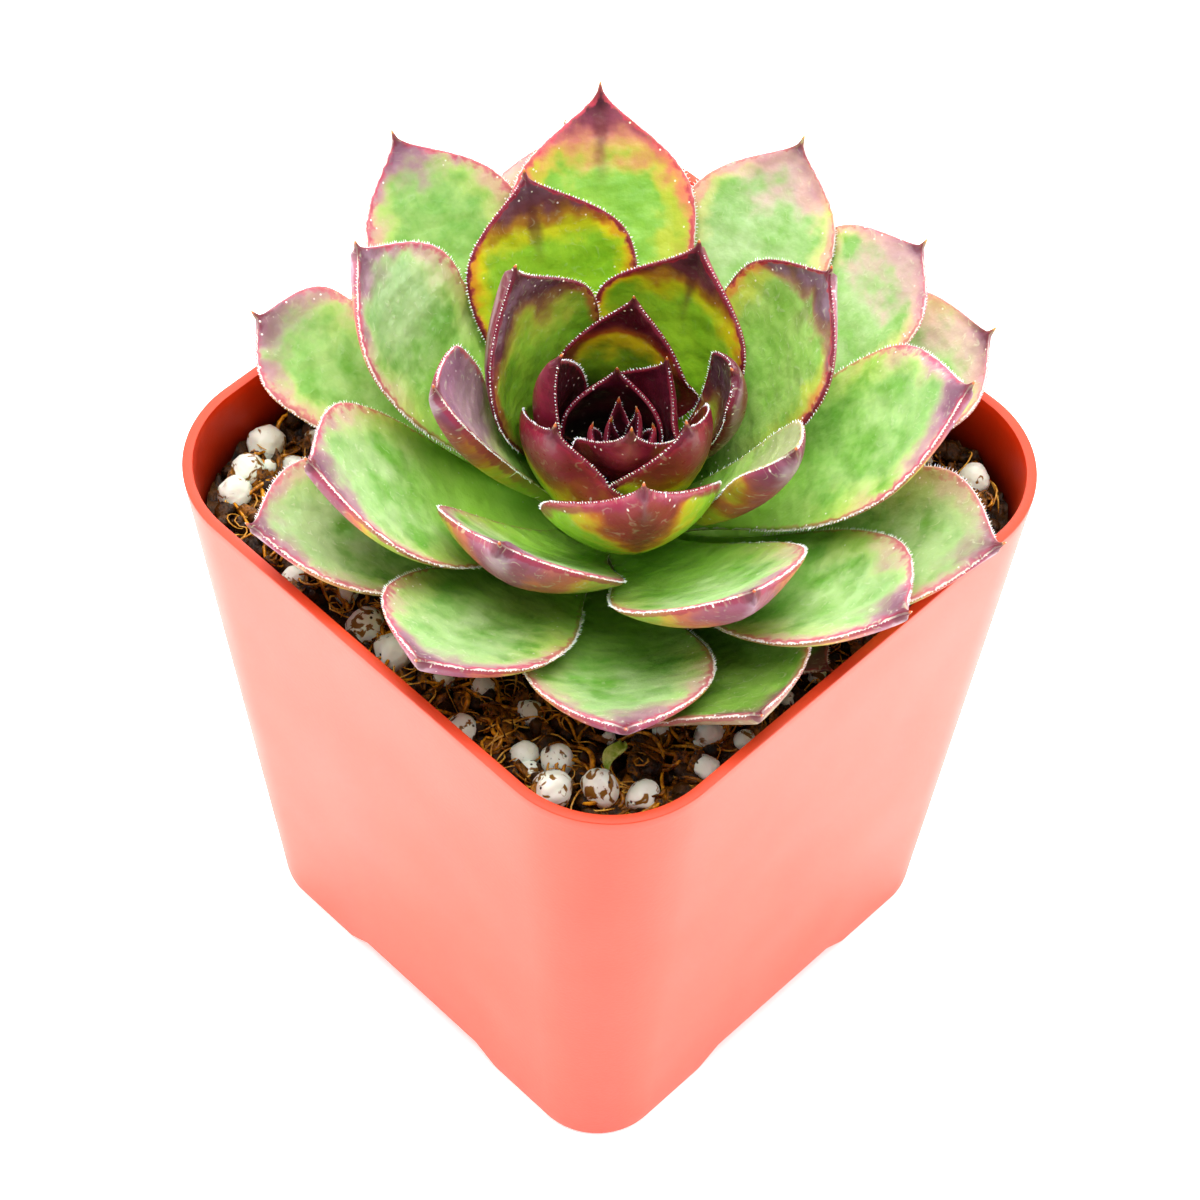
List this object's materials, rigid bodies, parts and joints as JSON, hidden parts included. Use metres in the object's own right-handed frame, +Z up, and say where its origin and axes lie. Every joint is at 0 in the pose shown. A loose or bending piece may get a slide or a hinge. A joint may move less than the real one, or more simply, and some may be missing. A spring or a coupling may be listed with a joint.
{
  "type": "hens and chicks",
  "caption": "Houseleek succulent rosette of broad pointed leaves with a tight dark heart, growing in a small square tapered nursery pot filled with gritty potting soil",
  "frame": {"origin": "middle of the flat face under the pot, where it stands", "axes": "+Z up; the four sides of the pot face +X, +Y, -X and -Y"},
  "size_m": [0.0639, 0.0607, 0.0803],
  "materials": {
    "pot": "satin",
    "soil": "rough",
    "stem": "matte",
    "heart": "satin",
    "leaf_dark": "satin",
    "leaf_edged": "satin",
    "leaf_green": "satin",
    "leaf_spent": "matte"
  },
  "bodies": {
    "root": {"pot": "pot", "potting_soil": "soil", "stem": "stem", "heart": "heart", "leaf_inner_01": "leaf_dark", "leaf_inner_02": "leaf_dark", "leaf_inner_03": "leaf_dark", "leaf_cup_01": "leaf_dark", "leaf_cup_02": "leaf_dark", "leaf_cup_03": "leaf_dark", "leaf_cup_04": "leaf_dark", "leaf_cup_05": "leaf_dark", "leaf_upper_01": "leaf_edged", "leaf_upper_02": "leaf_edged", "leaf_upper_03": "leaf_edged", "leaf_upper_04": "leaf_edged", "leaf_upper_05": "leaf_edged", "leaf_middle_01": "leaf_edged", "leaf_middle_02": "leaf_edged", "leaf_middle_03": "leaf_edged", "leaf_middle_04": "leaf_edged", "leaf_middle_05": "leaf_edged", "leaf_middle_06": "leaf_edged", "leaf_middle_07": "leaf_edged", "leaf_lower_01": "leaf_green", "leaf_lower_02": "leaf_green", "leaf_lower_03": "leaf_green", "leaf_lower_04": "leaf_green", "leaf_lower_05": "leaf_green", "leaf_lower_06": "leaf_green", "leaf_lower_07": "leaf_green", "leaf_outer_01": "leaf_green", "leaf_outer_02": "leaf_green", "leaf_outer_03": "leaf_green", "leaf_outer_04": "leaf_green", "leaf_outer_05": "leaf_green", "leaf_outer_06": "leaf_green", "leaf_outer_07": "leaf_green", "leaf_spent_01": "leaf_spent"}
  },
  "joints": []
}
